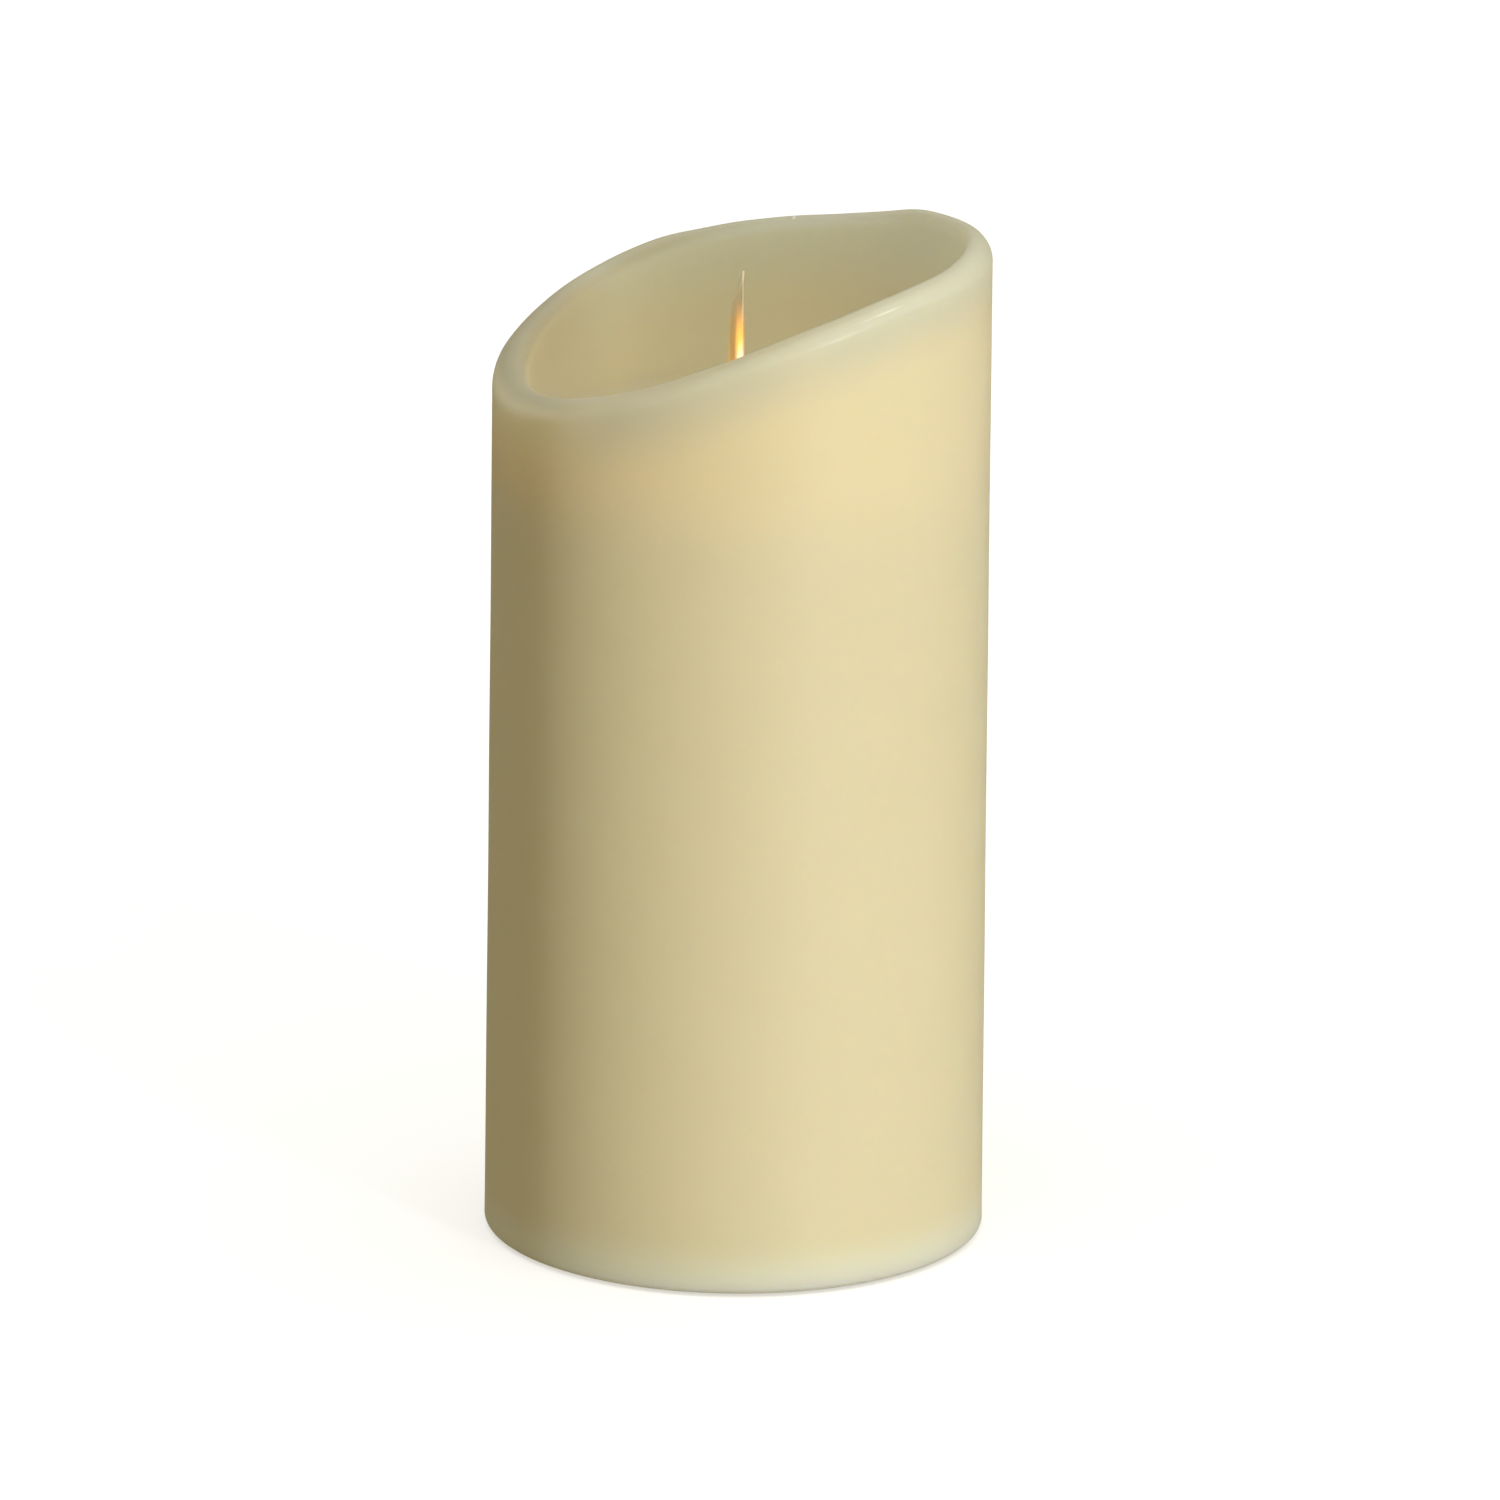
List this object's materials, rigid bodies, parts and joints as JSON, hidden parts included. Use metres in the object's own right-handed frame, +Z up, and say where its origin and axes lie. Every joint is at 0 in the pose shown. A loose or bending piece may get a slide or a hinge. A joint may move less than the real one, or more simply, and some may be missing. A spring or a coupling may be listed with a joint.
{
  "type": "flameless led pillar candle",
  "caption": "Hollow wax pillar with a slanted melted-look rim, a swaying lamp-lit flame blade over a magnet drive, a battery housing in the base, a slide switch and a hinged battery door.",
  "frame": {"origin": "centre of the base where the rubber feet touch the surface", "axes": "+Z up the candle's axis; -Y is the front, the low side of the rim, which the lamp and the hollow side of the flame face; +X is on the right seen from the front"},
  "size_m": [0.088, 0.088, 0.1831],
  "materials": {
    "wax": "warm ivory wax, satin, lightly translucent",
    "ivory_plastic": "ivory moulded plastic",
    "dark_plastic": "black moulded plastic",
    "screw_steel": "zinc-plated screws",
    "spring_steel": "nickel-plated spring wire",
    "flame_plastic": "thin frosted sheet, lit from below",
    "magnet_nickel": "nickel-plated magnet",
    "lamp_lens": "clear warm lamp body",
    "tinned_wire": "tinned legs",
    "bobbin_plastic": "natural nylon",
    "enamelled_copper": "enamelled copper winding",
    "board_laminate": "green circuit board",
    "chip_plastic": "black chip package",
    "capacitor_can": "sleeved can",
    "chip_parts": "small ceramic parts",
    "solder": "solder",
    "red_insulation": "red lead insulation",
    "black_insulation": "black lead insulation",
    "yellow_insulation": "yellow lead insulation",
    "housing_plastic": "ivory moulded plastic",
    "cell_jacket": "plain jacket with a copper-coloured band",
    "contact_steel": "nickel-plated strip",
    "base_plastic": "ivory moulded plastic",
    "foot_rubber": "soft rubber pads",
    "switch_plastic": "black switch body",
    "slider_plastic": "black ridged knob"
  },
  "bodies": {
    "candle": {"wax_shell": "wax", "well_cap": "ivory_plastic", "module_shell_left": "dark_plastic", "module_shell_right": "dark_plastic", "module_screws": "screw_steel", "cap_screws": "screw_steel", "board_screws": "screw_steel", "base_screws": "screw_steel", "flame_support_wire": "spring_steel", "flame_led": "lamp_lens", "led_holder": "dark_plastic", "led_leads": "tinned_wire", "coil_bobbin": "bobbin_plastic", "coil_winding": "enamelled_copper", "control_board": "board_laminate", "board_ic": "chip_plastic", "board_capacitor": "capacitor_can", "board_chip_parts": "chip_parts", "board_solder_joints": "solder", "battery_lead_positive": "red_insulation", "battery_lead_negative": "black_insulation", "switch_leads": "yellow_insulation", "battery_housing": "housing_plastic", "battery_left": "cell_jacket", "battery_right": "cell_jacket", "positive_contact_plate": "contact_steel", "negative_contact_plate": "contact_steel", "negative_contact_spring": "spring_steel", "base_cover": "base_plastic", "rubber_feet": "foot_rubber", "power_switch_body": "switch_plastic"},
    "flame": {"flame_blade": "flame_plastic", "flame_magnet": "magnet_nickel"},
    "switch_knob": {"power_switch_slider": "slider_plastic"},
    "door": {"battery_door": "base_plastic", "door_contact_plate": "contact_steel", "door_contact_spring": "spring_steel"}
  },
  "joints": [
    {"name": "flame_sway", "type": "hinge", "parent": "candle", "child": "flame", "pos_m": [0, 0, 0.122], "axis": [0, 1, 0], "range_deg": [-8, 8]},
    {"name": "power_switch", "type": "slide", "parent": "candle", "child": "switch_knob", "axis": [1, 0, 0], "range_m": [-0.004, 0]},
    {"name": "battery_door", "type": "hinge", "parent": "candle", "child": "door", "pos_m": [-0.0318, 0, 0.0027], "axis": [0, 1, 0], "range_deg": [0, 60]}
  ]
}
